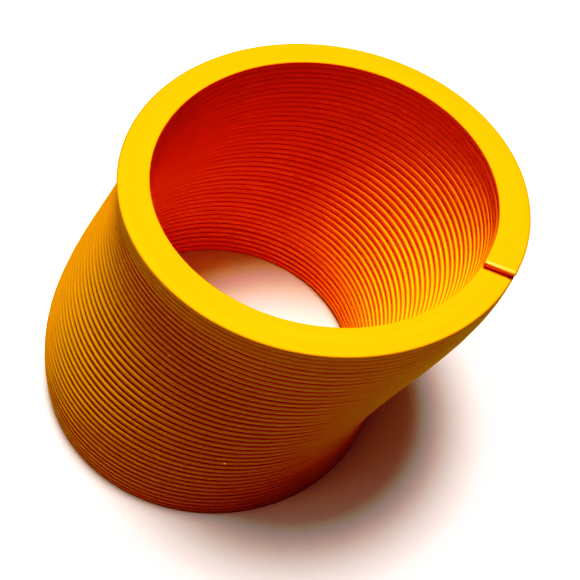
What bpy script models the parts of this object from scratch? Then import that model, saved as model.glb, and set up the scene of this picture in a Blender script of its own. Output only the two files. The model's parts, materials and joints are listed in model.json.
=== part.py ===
"""Spring coil toy: one flat plastic ribbon wound into a closed, leaning stack of turns.

The ribbon is divided into short coils, one object each, that stand on each other in a chain. Every second joint
of the chain slides, so that the toy stretches, and the ones between are hinges, so that it arches over.
"""

import math

import bpy
from mathutils import Vector

# Driving sizes, in metres
OUTER_DIAMETER = 0.075
RIBBON_WIDTH = 0.0058
RIBBON_THICKNESS = 0.00114
TURN_GAP = 0.0003  # clear height between one turn and the next
CUT_GAP = 0.00035  # clear length between one coil and the next, along the ribbon
LEAN = 0.0177  # how far the top turn has slid sideways, along +X
BOW = 0.0018  # how far the turns halfway up stand out along +Y
HINGE_CLEARANCE = 0.0001  # from the turns' furthest edge to the line of the hinges

# The winding
TURNS = 41.0
COILS = 60
FACETS = 21  # flat stretches along one coil
TOP_END = math.radians(-40.5)  # where the ribbon's upper end is cut, seen from above
STRAIGHT_SHARE = 0.05  # of the turns at the foot, and again at the top, that stand straight
FLAT_SHARE = 0.75  # of a turn that lies flat before it climbs over the ribbon's lower end
SETTLED_AFTER = 6.0  # turns from the foot to where the climb is even all round

PLASTIC_COLOUR = (0.93, 0.40, 0.02, 1.0)
PLASTIC_ROUGHNESS = 0.42
SHARP_EDGE = math.radians(35.0)

OUTER_RADIUS = OUTER_DIAMETER / 2
INNER_RADIUS = OUTER_RADIUS - RIBBON_WIDTH
MEAN_RADIUS = (OUTER_RADIUS + INNER_RADIUS) / 2
PITCH = RIBBON_THICKNESS + TURN_GAP
TURNS_PER_COIL = TURNS / COILS


def azimuth(turn):
    """The ribbon's direction from the stack's middle. It climbs clockwise, seen from above."""
    return TOP_END + 2 * math.pi * (TURNS - turn)


def underside(turn):
    """The height of the ribbon's lower face, flat on the table at the foot and an even climb further up."""
    share = turn % 1
    flat = share if share < FLAT_SHARE else FLAT_SHARE * (1 - share) / (1 - FLAT_SHARE)
    unsettled = min(max((SETTLED_AFTER - turn) / (SETTLED_AFTER - 1), 0), 1)
    return PITCH * (turn - unsettled * flat)


def middle(turn):
    """Where the stack's middle lies at this turn: an S along X from the foot to the top, and a bow along Y."""
    share = (turn / TURNS - STRAIGHT_SHARE) / (1 - 2 * STRAIGHT_SHARE)
    climb = min(max(share, 0), 1)
    lean = LEAN * (climb * climb * (3 - 2 * climb) - 0.5)
    bow = BOW * (math.sin(math.pi * turn / TURNS) - 0.5)
    return Vector((lean, bow, 0))


def ribbon_section(turn):
    """The four corners of the ribbon where it is cut across, inner side first."""
    low = underside(turn)
    direction = Vector((math.cos(azimuth(turn)), math.sin(azimuth(turn)), 0))
    inner, outer = (middle(turn) + direction * radius for radius in (INNER_RADIUS, OUTER_RADIUS))
    lower, upper = Vector((0, 0, low)), Vector((0, 0, low + RIBBON_THICKNESS))
    return [inner + lower, outer + lower, outer + upper, inner + upper]


def coil_span(index):
    """The first and last turn that a coil covers, short of its neighbours by the cut."""
    trim = CUT_GAP / (2 * math.pi * MEAN_RADIUS) / 2
    first = index * TURNS_PER_COIL + (trim if index else 0)
    last = (index + 1) * TURNS_PER_COIL - (trim if index < COILS - 1 else 0)
    return first, last


def is_hinged(index):
    """Coils 2, 4, 6 and so on swing on the one below. The others slide, and coil 0 is the foot."""
    return index > 0 and index % 2 == 0


def hinge_point(index):
    """On the side that the stack leans to, midway between the turns that part where this coil begins."""
    cut = index * TURNS_PER_COIL
    quarter_past = (azimuth(cut) / (2 * math.pi)) % 1  # from the cut up to where the ribbon crosses +X
    above = cut + quarter_past
    level = (underside(above) + underside(above - 1) + RIBBON_THICKNESS) / 2
    return Vector((LEAN / 2 + OUTER_RADIUS + HINGE_CLEARANCE, 0, level))


def slide_point(index):
    """On the middle of the stack, where this coil begins."""
    cut = index * TURNS_PER_COIL
    return middle(cut) + Vector((0, 0, underside(cut)))


def joint_point(index):
    return hinge_point(index) if is_hinged(index) else slide_point(index)


def coil_name(index):
    if index == 0:
        return "foot_coil"
    if index == COILS - 1:
        return "top_coil"
    return f"coil_{index + 1:02d}"


def coil_mesh(index):
    """A closed strip of four long sides and two cut ends, about the coil's own joint."""
    first, last = coil_span(index)
    origin = joint_point(index)
    points, faces = [], []
    for step in range(FACETS + 1):
        section = ribbon_section(first + (last - first) * step / FACETS)
        points += [corner - origin for corner in section]
    for step in range(FACETS):
        here, beyond = 4 * step, 4 * step + 4
        for side in range(4):
            after = (side + 1) % 4
            faces.append((here + side, here + after, beyond + after, beyond + side))
    end = 4 * FACETS
    faces += [(3, 2, 1, 0), (end, end + 1, end + 2, end + 3)]
    mesh = bpy.data.meshes.new(coil_name(index))
    mesh.from_pydata(points, [], faces)
    mesh.shade_smooth()
    mesh.set_sharp_from_angle(angle=SHARP_EDGE)
    return mesh


def spring_plastic():
    material = bpy.data.materials.new("spring_plastic")
    material.use_nodes = True
    shader = material.node_tree.nodes["Principled BSDF"]
    shader.inputs["Base Color"].default_value = PLASTIC_COLOUR
    shader.inputs["Roughness"].default_value = PLASTIC_ROUGHNESS
    shader.inputs["Metallic"].default_value = 0.0
    material.diffuse_color = PLASTIC_COLOUR
    return material


def add_coil(index, below, material):
    """One coil, parented to the one below it, with its origin on the joint between them."""
    mesh = coil_mesh(index)
    mesh.materials.append(material)
    coil = bpy.data.objects.new(coil_name(index), mesh)
    bpy.context.scene.collection.objects.link(coil)
    coil.location = joint_point(index)
    if below is not None:
        coil.parent = below
        coil.location -= joint_point(index - 1)
    return coil


def main():
    for leftover in list(bpy.data.objects):
        bpy.data.objects.remove(leftover, do_unlink=True)
    material = spring_plastic()
    below = None
    for index in range(COILS):
        below = add_coil(index, below, material)


main()
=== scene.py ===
# Spring coil toy: one flat plastic ribbon wound into a closed stack of turns that leans over to one side.
import json
import math

import bpy
import numpy as np
from mathutils import Matrix, Vector

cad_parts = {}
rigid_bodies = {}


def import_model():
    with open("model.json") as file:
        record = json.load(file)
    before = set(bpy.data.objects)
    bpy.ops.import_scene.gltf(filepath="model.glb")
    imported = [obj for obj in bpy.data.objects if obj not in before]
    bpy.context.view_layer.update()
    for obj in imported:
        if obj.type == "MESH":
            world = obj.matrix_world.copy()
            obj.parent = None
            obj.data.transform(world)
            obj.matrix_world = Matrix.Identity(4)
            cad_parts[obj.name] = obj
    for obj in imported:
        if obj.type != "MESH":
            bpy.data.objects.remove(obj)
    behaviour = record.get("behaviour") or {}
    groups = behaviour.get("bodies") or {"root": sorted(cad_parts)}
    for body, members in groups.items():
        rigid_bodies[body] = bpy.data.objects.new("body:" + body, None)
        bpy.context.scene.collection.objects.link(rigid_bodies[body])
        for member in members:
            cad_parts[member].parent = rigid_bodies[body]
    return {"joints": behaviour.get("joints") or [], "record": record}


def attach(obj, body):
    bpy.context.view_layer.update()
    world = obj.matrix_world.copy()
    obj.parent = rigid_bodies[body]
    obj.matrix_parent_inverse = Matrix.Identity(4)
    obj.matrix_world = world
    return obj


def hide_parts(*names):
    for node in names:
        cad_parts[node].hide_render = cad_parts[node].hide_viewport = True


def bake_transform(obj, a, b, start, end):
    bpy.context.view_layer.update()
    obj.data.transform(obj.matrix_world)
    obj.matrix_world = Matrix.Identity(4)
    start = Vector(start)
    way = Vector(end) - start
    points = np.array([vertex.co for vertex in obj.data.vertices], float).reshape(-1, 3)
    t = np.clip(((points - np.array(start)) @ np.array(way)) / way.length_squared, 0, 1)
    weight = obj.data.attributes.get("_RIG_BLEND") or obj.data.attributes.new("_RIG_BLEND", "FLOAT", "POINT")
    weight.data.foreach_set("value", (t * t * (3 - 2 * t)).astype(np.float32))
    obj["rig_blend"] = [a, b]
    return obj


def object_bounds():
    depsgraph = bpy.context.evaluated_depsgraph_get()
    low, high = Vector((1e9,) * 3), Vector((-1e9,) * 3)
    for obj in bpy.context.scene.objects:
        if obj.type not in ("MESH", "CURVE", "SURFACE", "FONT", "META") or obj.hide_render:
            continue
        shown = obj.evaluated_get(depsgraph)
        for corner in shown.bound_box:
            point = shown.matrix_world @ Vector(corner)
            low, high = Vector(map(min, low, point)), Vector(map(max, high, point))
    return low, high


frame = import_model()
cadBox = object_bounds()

# How the ribbon is wound. Lengths are in metres and turns count up from the foot.
winding = {
    "turns": 41.0,
    "pitch": 0.00144,
    "topEnd": -40.5,  # degrees, where the upper end is cut, seen from above
    "lean": 0.0177,  # along +X, from the foot turn to the top one
    "bow": 0.0018,  # how far the turns halfway up stand out along +Y
    "straightShare": 0.05,  # of the turns at the foot, and again at the top, that stand straight
    "flatShare": 0.75,  # of a turn that lies flat before it climbs over the lower end
    "settledAfter": 6.0,  # turns from the foot to where the climb is even all round
    "sideWander": 0.00006,  # how far a turn strays from true, as on any wound spring
    "heightWander": 0.00002,
    # each wave of the straying: its rate against the turns, its size and where it starts
    "wanderWaves": ((0.37, 1.0, 0.0), (0.93, 0.8, 1.7), (1.13, 0.7, 4.1), (2.21, 0.5, 2.6)),
    "bendEasing": 0.6,  # 0 opens each coil evenly along its length, 1 opens it in its middle only
}

# The ribbon itself, cut across
ribbon = {
    "width": 0.0058,
    "thickness": 0.0013,
    "cornerRadius": 0.00022,
    "cornerSteps": 3,
    "faceCrown": 2.5,  # degrees that the broad faces lean out to their edges
    "sideCrown": 13.0,  # the same for the narrow sides
    "stepsPerCoil": 80,
    "endSetBack": 0.00098,  # from where the winding stops to where a free end begins to fall away
    "endFall": 0.0006,  # the length that falls away
    "endSlope": 15.0,  # degrees
    "endKnee": (0.15, 0.08),  # how soon the slope is reached, as shares of the length and of the fall
    "endRounding": 0.00015,
    "endSteps": 4,
    "endBulge": 0.0003,  # how far the middle of a cut end stands out
    "endSkew": 0.152,  # how much further the inner edge runs than the outer, as a share of the width
}

coilNames = list(frame["record"]["behaviour"]["bodies"])
parentOf = {joint["child"]: joint["parent"] for joint in frame["joints"]}
nextOf = {parent: child for child, parent in parentOf.items()}
chain = [next(name for name in coilNames if name not in parentOf)]
while chain[-1] in nextOf:
    chain.append(nextOf[chain[-1]])
print("frame:", len(chain), "bodies in a chain, from", chain[0], "to", chain[-1])

outerRadius = (cadBox[1].x - cadBox[0].x - winding["lean"]) / 2
meanRadius = outerRadius - ribbon["width"] / 2
coilTurns = winding["turns"] / len(chain)


def azimuth(turn):
    return math.radians(winding["topEnd"]) + 2 * math.pi * (winding["turns"] - turn)


def underside(turn):
    # flat on the table at the foot, and an even climb further up
    share = turn % 1
    flatShare = winding["flatShare"]
    flat = np.where(share < flatShare, share, flatShare * (1 - share) / (1 - flatShare))
    settled = winding["settledAfter"]
    unsettled = np.clip((settled - turn) / (settled - 1), 0, 1)
    return winding["pitch"] * (turn - unsettled * flat)


def middle(turn):
    # where the stack's middle lies: an S along X from the foot to the top, and a bow along Y
    straight = winding["straightShare"]
    climb = np.clip((turn / winding["turns"] - straight) / (1 - 2 * straight), 0, 1)
    leanHere = winding["lean"] * (climb * climb * (3 - 2 * climb) - 0.5)
    bowHere = winding["bow"] * (np.sin(math.pi * turn / winding["turns"]) - 0.5)
    return leanHere, bowHere


def wander(turn, seed):
    # slow, never repeating, between about -1 and 1
    angle = 2 * math.pi * turn
    waves = winding["wanderWaves"]
    total = sum(size for rate, size, phase in waves)
    return sum(size * np.sin(rate * angle + phase * seed) for rate, size, phase in waves) / total


def ribbonOutline():
    # places across and up from the ribbon's middle, and the outward direction at each
    radius = ribbon["cornerRadius"]
    inX = ribbon["width"] / 2 - radius
    inZ = ribbon["thickness"] / 2 - radius
    first = math.radians(ribbon["sideCrown"])
    last = math.radians(90 - ribbon["faceCrown"])
    steps = ribbon["cornerSteps"]
    drawnIn = inZ * math.tan(first / 2) / 2  # so that the crowned sides stay within the width
    points, outward = [], []
    for side, upper in ((1, 1), (-1, 1), (-1, -1), (1, -1)):
        arc = []
        for step in range(steps + 1):
            angle = first + (last - first) * step / steps
            arc.append((side * math.cos(angle), upper * math.sin(angle)))
        if side != upper:
            arc.reverse()
        if side == upper:
            points.append((side * (ribbon["width"] / 2), 0))  # the middle of a narrow side
            outward.append((side, 0))
        points += [(side * (inX - drawnIn) + radius * x, upper * inZ + radius * z) for x, z in arc]
        outward += arc
    return np.array(points), np.array(outward)


def runLength(turn):
    return turn * 2 * math.pi * meanRadius


def endRows(turn, way):
    # a free end falls away a little all round, and then turns over a small rounding into the cut face
    slope = math.radians(ribbon["endSlope"])
    length = ribbon["endFall"]
    rounding = ribbon["endRounding"]
    fall = length * math.tan(slope)
    kneeLength, kneeFall = ribbon["endKnee"]
    rows = [(turn, 0.0, 0.0, 0.0, way), (turn, way * length * kneeLength, fall * kneeFall, slope, way)]
    for step in range(ribbon["endSteps"] + 1):
        angle = slope + (math.pi / 2 - slope) * step / ribbon["endSteps"]
        reach = length + rounding * (math.sin(angle) - math.sin(slope))
        inset = fall + rounding * (math.cos(slope) - math.cos(angle))
        rows.append((turn, way * reach, inset, angle, way))
    return rows


def coilRows(index, first, last):
    # each row is the turn, the reach past it, how far the outline is drawn in, how far it faces along the
    # ribbon, and whether it is on a free end: -1 at the foot, 1 at the top and 0 between
    steps = ribbon["stepsPerCoil"]
    setBack = ribbon["endSetBack"] / runLength(1)
    begin = setBack if index == 0 else first
    stop = last - setBack if index == len(chain) - 1 else last
    rows = [(begin + (stop - begin) * step / steps, 0.0, 0.0, 0.0, 0) for step in range(steps + 1)]
    if index == 0:
        rows = endRows(begin, -1)[::-1] + rows[2:]
    if index == len(chain) - 1:
        rows = rows[:-2] + endRows(stop, 1)
    return rows


def stripFaces(count, around):
    # four-sided faces between the rows, row by row, and one face on each end
    faces = []
    for row in range(count - 1):
        here, beyond = row * around, (row + 1) * around
        for step in range(around):
            after = (step + 1) % around
            faces.append((here + step, here + after, beyond + after, beyond + step))
    faces.append(tuple(reversed(range(around))))
    faces.append(tuple(range((count - 1) * around, count * around)))
    return faces


def coilMesh(index, outline, outward):
    # a closed strip of the ribbon, from one cut to the next, with the free ends rounded over
    first, last = index * coilTurns, (index + 1) * coilTurns
    halfWidth = ribbon["width"] / 2
    rows = coilRows(index, first, last)
    points, normals, places, shares = [], [], [], []
    for turn, reach, inset, angle, way in rows:
        across = outline[:, 0] - outward[:, 0] * inset
        up = outline[:, 1] - outward[:, 1] * inset
        bulge = way * ribbon["endBulge"] * (1 - (outline[:, 0] / halfWidth) ** 2)
        skew = abs(way) * ribbon["endSkew"] * outline[:, 0]
        turns = turn + (reach + bulge - skew) / runLength(1)
        heading = azimuth(turns)
        radius = meanRadius + across + winding["sideWander"] * wander(turns, 1.0)
        middleX, middleY = middle(turns)
        x = middleX + radius * np.cos(heading)
        y = middleY + radius * np.sin(heading)
        lift = winding["heightWander"] * (1 + wander(turns, 2.3)) * np.clip(turns, 0, 1)
        z = underside(np.maximum(turns, 0)) + lift + ribbon["thickness"] / 2 + up
        points.append(np.stack([x, y, z], 1))
        along = math.sin(angle) * way
        side = outward[:, 0] * math.cos(angle)
        normals.append(np.stack([
            side * np.cos(heading) + along * np.sin(heading),
            side * np.sin(heading) - along * np.cos(heading),
            outward[:, 1] * math.cos(angle),
        ], 1))
        places.append(np.stack([runLength(turns), across, up], 1))
        shares.append(np.clip((turns - first) / (last - first), 0, 1))
    mesh = bpy.data.meshes.new("ribbon" + chain[index].title().replace("_", ""))
    around = len(outline)
    mesh.from_pydata(np.concatenate(points), [], stripFaces(len(rows), around))
    mesh.shade_smooth()
    mesh.materials.append(springPlastic)
    mesh.materials.append(cutPlastic)
    for row in range(len(rows) - 1):
        if rows[row][-1] and rows[row + 1][-1]:
            for face in mesh.polygons[row * around:(row + 1) * around]:
                face.material_index = 1
    mesh.polygons[-2].material_index = 1
    mesh.polygons[-1].material_index = 1
    place = mesh.attributes.new("ribbonPlace", "FLOAT_VECTOR", "POINT")
    place.data.foreach_set("vector", np.concatenate(places).astype(np.float32).ravel())
    mesh.normals_split_custom_set_from_vertices(np.concatenate(normals))
    return mesh, np.concatenate(shares)


# Node helpers. The colour mix node names its sockets alike, so these go by their place.
colourA, colourB, mixedColour = 6, 7, 2


def addNode(tree, kind, **settings):
    node = tree.nodes.new(kind)
    for name, value in settings.items():
        setattr(node, name, value)
    return node


def connect(tree, start, output, end, target):
    tree.links.new(start.outputs[output], end.inputs[target])


def newGroup(name, inputs, outputs):
    group = bpy.data.node_groups.new(name, "ShaderNodeTree")
    for label, kind, value in inputs:
        made = group.interface.new_socket(name=label, in_out="INPUT", socket_type="NodeSocket" + kind)
        if value is not None:
            made.default_value = value
    for label, kind in outputs:
        group.interface.new_socket(name=label, in_out="OUTPUT", socket_type="NodeSocket" + kind)
    start = group.nodes.new("NodeGroupInput")
    end = group.nodes.new("NodeGroupOutput")
    return group, start, end


def mathNode(tree, operation, first, second=None, clamp=False):
    # first and second are numbers or (node, output) pairs
    node = addNode(tree, "ShaderNodeMath", operation=operation, use_clamp=clamp)
    for socket, given in zip(node.inputs, (first, second)):
        if given is None:
            continue
        if isinstance(given, tuple):
            tree.links.new(given[0].outputs[given[1]], socket)
        else:
            socket.default_value = given
    return node


def stretchedNoise(group, start, scales, detail):
    # noise on the group's Place, with its own scale along the ribbon, across it and up
    place = addNode(group, "ShaderNodeVectorMath", operation="MULTIPLY")
    connect(group, start, "Place", place, 0)
    place.inputs[1].default_value = scales
    noise = addNode(group, "ShaderNodeTexNoise", noise_dimensions="3D")
    noise.inputs["Scale"].default_value = 1.0
    noise.inputs["Detail"].default_value = detail
    connect(group, place, 0, noise, "Vector")
    return noise


def spreadOut(group, source, output, limits):
    # brings the part of a pattern between two limits out to 0 and 1
    node = addNode(group, "ShaderNodeMapRange")
    node.inputs["From Min"].default_value, node.inputs["From Max"].default_value = limits
    connect(group, source, output, node, "Value")
    return node


# Scales are per metre along the ribbon, across it and up. A range is the part of a pattern that shows.
pattern = {
    "streaks": (28.0, 420.0, 420.0),
    "streakPatches": (9.0, 60.0, 60.0),
    "streakRange": (0.12, 0.42),
    "wearPatches": (160.0, 900.0, 900.0),
    "wearRange": (0.42, 0.62),
    "lineDrift": (40.0, 300.0, 300.0),
    "lineRun": 12.0,
    # unevenness of the painted shade on the outer sides of the turns
    "handling": (22.0, 150.0, 150.0),
}


def pigmentFlowGroup():
    # pigment that didn't mix in fully, drawn out along the ribbon
    group, start, end = newGroup(
        "pigmentFlow",
        [("Place", "Vector", None), ("Base", "Color", None), ("Deep", "Color", None),
         ("Amount", "Float", 0.3)],
        [("Color", "Color"), ("Mask", "Float")],
    )
    streaks = stretchedNoise(group, start, pattern["streaks"], 4.0)
    patches = stretchedNoise(group, start, pattern["streakPatches"], 2.0)
    both = mathNode(group, "MULTIPLY", (streaks, "Fac"), (patches, "Fac"))
    spread = spreadOut(group, both, 0, pattern["streakRange"])
    amount = mathNode(group, "MULTIPLY", (spread, "Result"), (start, "Amount"))
    mix = addNode(group, "ShaderNodeMix", data_type="RGBA")
    connect(group, amount, 0, mix, "Factor")
    connect(group, start, "Base", mix, colourA)
    connect(group, start, "Deep", mix, colourB)
    connect(group, mix, mixedColour, end, "Color")
    connect(group, spread, "Result", end, "Mask")
    return group


def edgeWearGroup():
    # the ribbon's four long edges, in patches, where the turns rub
    group, start, end = newGroup(
        "edgeWear",
        [("Place", "Vector", None), ("Half Width", "Float", 0.0029), ("Half Height", "Float", 0.00065),
         ("Reach", "Float", 0.0003), ("Patchiness", "Float", 0.5)],
        [("Mask", "Float")],
    )
    split = addNode(group, "ShaderNodeSeparateXYZ")
    connect(group, start, "Place", split, 0)
    across = mathNode(group, "ABSOLUTE", (split, "Y"))
    up = mathNode(group, "ABSOLUTE", (split, "Z"))
    fromSide = mathNode(group, "SUBTRACT", (start, "Half Width"), (across, 0))
    fromFace = mathNode(group, "SUBTRACT", (start, "Half Height"), (up, 0))
    total = mathNode(group, "ADD", (fromSide, 0), (fromFace, 0))
    near = mathNode(group, "DIVIDE", (total, 0), (start, "Reach"))
    edge = mathNode(group, "SUBTRACT", 1.0, (near, 0), clamp=True)
    patches = stretchedNoise(group, start, pattern["wearPatches"], 5.0)
    broken = spreadOut(group, patches, "Fac", pattern["wearRange"])
    whole = mathNode(group, "SUBTRACT", 1.0, (start, "Patchiness"))
    part = mathNode(group, "MULTIPLY", (broken, "Result"), (start, "Patchiness"))
    cover = mathNode(group, "ADD", (whole, 0), (part, 0))
    worn = mathNode(group, "MULTIPLY", (edge, 0), (cover, 0), clamp=True)
    connect(group, worn, 0, end, "Mask")
    return group


def drawLinesGroup():
    # fine lines along the ribbon, left when it was drawn and wound
    group, start, end = newGroup(
        "drawLines",
        [("Place", "Vector", None), ("Lines Per Metre", "Float", 9000.0), ("Wobble", "Float", 0.6)],
        [("Height", "Float")],
    )
    split = addNode(group, "ShaderNodeSeparateXYZ")
    connect(group, start, "Place", split, 0)
    acrossAndUp = mathNode(group, "ADD", (split, "Y"), (split, "Z"))
    lines = mathNode(group, "MULTIPLY", (acrossAndUp, 0), (start, "Lines Per Metre"))
    drift = stretchedNoise(group, start, pattern["lineDrift"], 1.0)
    wobble = mathNode(group, "MULTIPLY", (drift, "Fac"), (start, "Wobble"))
    run = mathNode(group, "MULTIPLY", (split, "X"), pattern["lineRun"])
    combine = addNode(group, "ShaderNodeCombineXYZ")
    connect(group, run, 0, combine, "X")
    connect(group, mathNode(group, "ADD", (lines, 0), (wobble, 0)), 0, combine, "Y")
    fine = addNode(group, "ShaderNodeTexNoise", noise_dimensions="2D")
    fine.inputs["Scale"].default_value = 1.0
    fine.inputs["Detail"].default_value = 3.0
    connect(group, combine, 0, fine, "Vector")
    connect(group, fine, "Fac", end, "Height")
    return group


def dustSpecksGroup():
    # stray bright specks of dust and small nicks
    group, start, end = newGroup(
        "dustSpecks",
        [("Place", "Vector", None), ("Cells Per Metre", "Float", 260.0), ("Speck Size", "Float", 0.07),
         ("Rarity", "Float", 0.93)],
        [("Mask", "Float")],
    )
    scaled = addNode(group, "ShaderNodeVectorMath", operation="SCALE")
    connect(group, start, "Place", scaled, 0)
    group.links.new(start.outputs["Cells Per Metre"], scaled.inputs["Scale"])
    cells = addNode(group, "ShaderNodeTexVoronoi", voronoi_dimensions="3D", feature="F1")
    cells.inputs["Scale"].default_value = 1.0
    connect(group, scaled, 0, cells, "Vector")
    inside = mathNode(group, "LESS_THAN", (cells, "Distance"), (start, "Speck Size"))
    draw = addNode(group, "ShaderNodeSeparateColor")
    connect(group, cells, "Color", draw, 0)
    chosen = mathNode(group, "GREATER_THAN", (draw, "Red"), (start, "Rarity"))
    mask = mathNode(group, "MULTIPLY", (inside, 0), (chosen, 0))
    connect(group, mask, 0, end, "Mask")
    return group


def paintedRimShadeGroup():
    # painted shade: the outer side and outer edge of the turns take a darker, browner copy of the plastic's
    # colour, for the shade the sides have under light from above; on the top turn only its side, in uneven
    # patches
    group, start, end = newGroup(
        "handledRim",
        [("Place", "Vector", None), ("Begins", "Float", 0.0019), ("Whole", "Float", 0.0022),
         ("Clean From", "Float", 8.7), ("Cleaned", "Float", 0.0006), ("Unevenness", "Float", 0.15)],
        [("Mask", "Float")],
    )
    split = addNode(group, "ShaderNodeSeparateXYZ")
    connect(group, start, "Place", split, 0)
    isTop = mathNode(group, "GREATER_THAN", (split, "X"), (start, "Clean From"))
    topTurnShift = mathNode(group, "MULTIPLY", (isTop, 0), (start, "Cleaned"))
    outer = addNode(group, "ShaderNodeMapRange")
    connect(group, mathNode(group, "SUBTRACT", (split, "Y"), (topTurnShift, 0)), 0, outer, "Value")
    connect(group, start, "Begins", outer, "From Min")
    connect(group, start, "Whole", outer, "From Max")
    handling = stretchedNoise(group, start, pattern["handling"], 3.0)
    shadeGaps = mathNode(group, "MULTIPLY", (handling, "Fac"), (start, "Unevenness"))
    shadeCover = mathNode(group, "SUBTRACT", 1.0, (shadeGaps, 0))
    mask = mathNode(group, "MULTIPLY", (outer, "Result"), (shadeCover, 0), clamp=True)
    connect(group, mask, 0, end, "Mask")
    return group


pigmentFlow = pigmentFlowGroup()
edgeWear = edgeWearGroup()
drawLines = drawLinesGroup()
dustSpecks = dustSpecksGroup()
handledRim = paintedRimShadeGroup()
print("node groups:", len(bpy.data.node_groups))

# The plastic along the ribbon, and the same plastic where it was cut
springPlasticLook = {
    "name": "springPlastic",
    "base": (0.97, 0.49, 0.001, 1.0),
    "deep": (0.92, 0.42, 0.001, 1.0),
    "worn": (1.0, 0.50, 0.03, 1.0),
    # painted shade: a darker, browner copy of the plastic for the outer sides of the turns
    "rim": (0.48, 0.31, 0.003, 1.0),
    "rimAmount": 1.0,
    # painted light: a faint red glow everywhere, stronger along the ribbon's edges, lifts the shade in the
    # gaps between the turns and on the shaded parts
    "glow": (0.005, 0.0, 0.0, 1.0),
    "edgeGlow": (0.07, 0.0, 0.0, 1.0),
    "glowReach": 0.0005,
    "dust": (0.95, 0.80, 0.62, 1.0),
    "pigmentAmount": 0.5,
    "wearAmount": 0.35,
    "wearReach": 0.00032,
    "wearPatchiness": 0.5,
    "roughness": (0.5, 0.6),  # clear plastic, and where the pigment is thick
    "dustRoughness": 0.4,  # on top of the plastic's own
    "lineHeight": 0.000004,
    "ior": 1.47,
    "specular": 0.3,
}
cutPlasticLook = dict(
    springPlasticLook, name="cutPlastic", base=(1.0, 0.48, 0.01, 1.0), wearAmount=0.6, wearReach=0.0006,
    roughness=(0.34, 0.40), specular=0.35, lineHeight=0.00001,
)


def plasticMaterial(look):
    material = bpy.data.materials.new(look["name"])
    material.use_nodes = True
    tree = material.node_tree
    shader = tree.nodes["Principled BSDF"]
    shader.inputs["IOR"].default_value = look["ior"]
    shader.inputs["Specular IOR Level"].default_value = look["specular"]
    shader.inputs["Emission Strength"].default_value = 1.0
    place = addNode(tree, "ShaderNodeAttribute", attribute_name="ribbonPlace")
    topTurnFrom = runLength(winding["turns"] - 1)  # the painted side shade keeps off the top turn's upper edge, which keeps the plain colour

    def placed(group, **values):
        node = addNode(tree, "ShaderNodeGroup", node_tree=group)
        connect(tree, place, "Vector", node, "Place")
        for name, value in values.items():
            node.inputs[name.replace("_", " ")].default_value = value
        return node

    pigment = placed(pigmentFlow, Base=look["base"], Deep=look["deep"], Amount=look["pigmentAmount"])
    wear = placed(edgeWear, Reach=look["wearReach"], Patchiness=look["wearPatchiness"])
    specks = placed(dustSpecks)
    lines = placed(drawLines)
    # painted shade on the outer sides of the turns
    rim = placed(handledRim, Clean_From=topTurnFrom)
    layers = (
        (rim, look["rimAmount"], look["rim"]),
        (wear, look["wearAmount"], look["worn"]),
        (specks, 1.0, look["dust"]),
    )
    under, output = pigment, "Color"
    for mask, amount, colour in layers:
        layer = addNode(tree, "ShaderNodeMix", data_type="RGBA")
        connect(tree, mathNode(tree, "MULTIPLY", (mask, "Mask"), amount), 0, layer, 0)
        connect(tree, under, output, layer, colourA)
        layer.inputs[colourB].default_value = colour
        under, output = layer, mixedColour
    connect(tree, under, output, shader, "Base Color")
    # painted light: red emission near the long edges, filling the shade in the gaps between turns
    nearEdge = placed(edgeWear, Reach=look["glowReach"], Patchiness=0.0)
    glow = addNode(tree, "ShaderNodeMix", data_type="RGBA")
    connect(tree, nearEdge, "Mask", glow, 0)
    glow.inputs[colourA].default_value = look["glow"]
    glow.inputs[colourB].default_value = look["edgeGlow"]
    connect(tree, glow, mixedColour, shader, "Emission Color")
    gloss = addNode(tree, "ShaderNodeMapRange")
    gloss.inputs["To Min"].default_value = look["roughness"][0]
    gloss.inputs["To Max"].default_value = look["roughness"][1]
    connect(tree, pigment, "Mask", gloss, "Value")
    matt = mathNode(tree, "MULTIPLY", (specks, "Mask"), look["dustRoughness"])
    roughness = mathNode(tree, "ADD", (gloss, "Result"), (matt, 0))
    connect(tree, roughness, 0, shader, "Roughness")
    bump = addNode(tree, "ShaderNodeBump")
    bump.inputs["Strength"].default_value = 1.0
    bump.inputs["Distance"].default_value = look["lineHeight"]
    connect(tree, lines, "Height", bump, "Height")
    connect(tree, bump, "Normal", shader, "Normal")
    return material


springPlastic = plasticMaterial(springPlasticLook)
cutPlastic = plasticMaterial(cutPlasticLook)
print("materials:", springPlastic.name, cutPlastic.name)


def easedShare(share):
    # opens a coil mostly in its middle, so that the ribbon has no corner where two coils meet
    return share - winding["bendEasing"] * np.sin(2 * math.pi * share) / (2 * math.pi)


def addCoil(index, outline, outward):
    mesh, shares = coilMesh(index, outline, outward)
    coil = bpy.data.objects.new(mesh.name, mesh)
    bpy.context.scene.collection.objects.link(coil)
    body = chain[index]
    if index == 0:
        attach(coil, body)
    else:
        begin, finish = (mesh.vertices[row].co.copy() for row in (0, -1))
        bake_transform(coil, chain[index - 1], body, start=begin, end=finish)
        eased = easedShare(shares).astype(np.float32)  # along the ribbon, not straight across
        mesh.attributes["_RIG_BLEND"].data.foreach_set("value", eased)
    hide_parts(body)
    return coil


outline, outward = ribbonOutline()
coils = [addCoil(index, outline, outward) for index in range(len(chain))]
print("ribbon:", len(coils), "coils,", sum(len(coil.data.polygons) for coil in coils), "faces")

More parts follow.
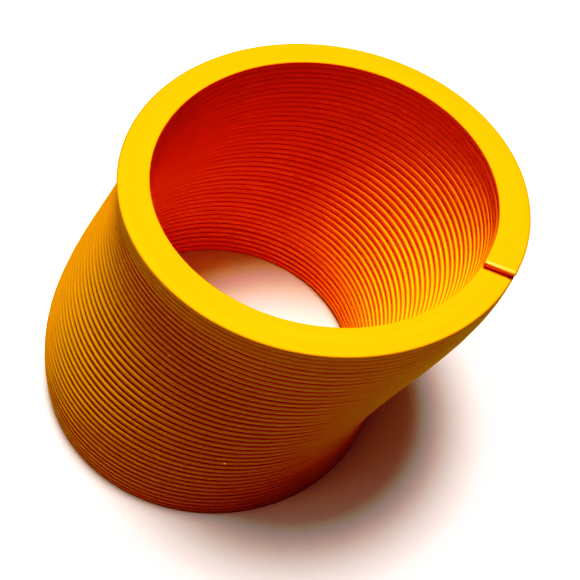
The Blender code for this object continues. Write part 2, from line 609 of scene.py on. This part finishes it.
# Floor, light and camera
studio = {
    "floorSize": 3.0,
    "floorDrop": 0.00002,  # so that the foot turn doesn't lie in the floor's own face
    "floorColour": (0.8, 0.8, 0.8, 1.0),
    "floorRoughness": 0.7,
    "floorSpecular": 0.2,
    # degrees round and up from the middle of the floor, metres, and watts
    "lamps": (
        dict(name="softbox", azimuth=77.0, elevation=77.0, distance=2.7, size=1.0, power=64.0),
        dict(name="overhead", azimuth=90.0, elevation=90.0, distance=3.6, size=6.0, power=56.0),
        dict(name="leftLamp", azimuth=175.0, elevation=40.0, distance=2.7, size=2.0, power=7.0),
    ),
    "lampColour": (1.0, 0.99, 0.975),
    "fillColour": (0.10, 0.004, 0.003, 1.0),
    "backdropColour": (1.0, 1.0, 1.0, 1.0),
    # scene brightness and the shown one, between black and white
    "contrast": (
        (0.1, 0.005), (0.17, 0.051), (0.25, 0.16), (0.35, 0.26), (0.5, 0.52), (0.65, 0.77), (0.85, 1.0),
    ),
}
view = {
    "location": (-0.02795, -0.1078, 0.17761),
    "yaw": 17.62,  # degrees
    "pitch": 53.56,
    "roll": 11.07,
    "lens": 55.52,  # millimetres
    "sensorWidth": 36.0,
    "nearLimit": 0.01,
}


def floorMaterial():
    material = bpy.data.materials.new("paleTable")
    material.use_nodes = True
    tree = material.node_tree
    shader = tree.nodes["Principled BSDF"]
    shader.inputs["Base Color"].default_value = studio["floorColour"]
    shader.inputs["Roughness"].default_value = studio["floorRoughness"]
    shader.inputs["Specular IOR Level"].default_value = studio["floorSpecular"]
    return material


def addFloor():
    half = studio["floorSize"] / 2
    mesh = bpy.data.meshes.new("floor")
    corners = [(-half, -half, 0), (half, -half, 0), (half, half, 0), (-half, half, 0)]
    mesh.from_pydata(corners, [], [(0, 1, 2, 3)])
    mesh.materials.append(floorMaterial())
    floor = bpy.data.objects.new("floor", mesh)
    bpy.context.scene.collection.objects.link(floor)
    floor.location.z = -studio["floorDrop"]


def addLamp(settings):
    data = bpy.data.lights.new(settings["name"], "AREA")
    data.shape = "DISK"
    data.size = settings["size"]
    data.energy = settings["power"]
    data.color = studio["lampColour"]
    lamp = bpy.data.objects.new(settings["name"], data)
    bpy.context.scene.collection.objects.link(lamp)
    around = math.radians(settings["azimuth"])
    up = math.radians(settings["elevation"])
    towards = Vector((math.cos(around) * math.cos(up), math.sin(around) * math.cos(up), math.sin(up)))
    lamp.location = towards * settings["distance"]
    lamp.rotation_euler = towards.to_track_quat("Z", "Y").to_euler()


def addSurroundings():
    # pale where the camera sees it, and a faint red fill, as from the plastic's own glow, where it lights
    world = bpy.data.worlds.new("paleRoom")
    bpy.context.scene.world = world
    world.use_nodes = True
    tree = world.node_tree
    seen = addNode(tree, "ShaderNodeLightPath")
    colour = addNode(tree, "ShaderNodeMix", data_type="RGBA")
    connect(tree, seen, "Is Camera Ray", colour, 0)
    colour.inputs[colourA].default_value = studio["fillColour"]
    colour.inputs[colourB].default_value = studio["backdropColour"]
    connect(tree, colour, mixedColour, tree.nodes["Background"], "Color")


def addCamera():
    data = bpy.data.cameras.new("camera")
    data.lens = view["lens"]
    data.sensor_width = view["sensorWidth"]
    data.clip_start = view["nearLimit"]
    camera = bpy.data.objects.new("camera", data)
    bpy.context.scene.collection.objects.link(camera)
    yaw, pitchDown, roll = (math.radians(view[name]) for name in ("yaw", "pitch", "roll"))
    level = math.cos(pitchDown)
    forward = Vector((math.sin(yaw) * level, math.cos(yaw) * level, -math.sin(pitchDown)))
    right = Vector((math.cos(yaw), -math.sin(yaw), 0))
    upward = right.cross(forward)
    rolledRight = math.cos(roll) * right + math.sin(roll) * upward
    rolledUp = -math.sin(roll) * right + math.cos(roll) * upward
    turned = Matrix((rolledRight, rolledUp, -forward)).transposed().to_4x4()
    camera.matrix_world = Matrix.Translation(view["location"]) @ turned
    bpy.context.scene.camera = camera


def setContrast():
    # deepens the shades and lets the brightest parts run to white
    settings = bpy.context.scene.view_settings
    settings.view_transform = "Standard"
    settings.use_curve_mapping = True
    mapping = settings.curve_mapping
    mapping.extend = "HORIZONTAL"
    combined = mapping.curves[3]
    for given, shown in studio["contrast"]:
        combined.points.new(given, shown)
    for point in combined.points:
        point.handle_type = "AUTO_CLAMPED"
    mapping.update()


addFloor()
for lampSettings in studio["lamps"]:
    addLamp(lampSettings)
addSurroundings()
addCamera()
setContrast()
print("studio: floor, lamps, surroundings and camera")

bpy.context.view_layer.update()
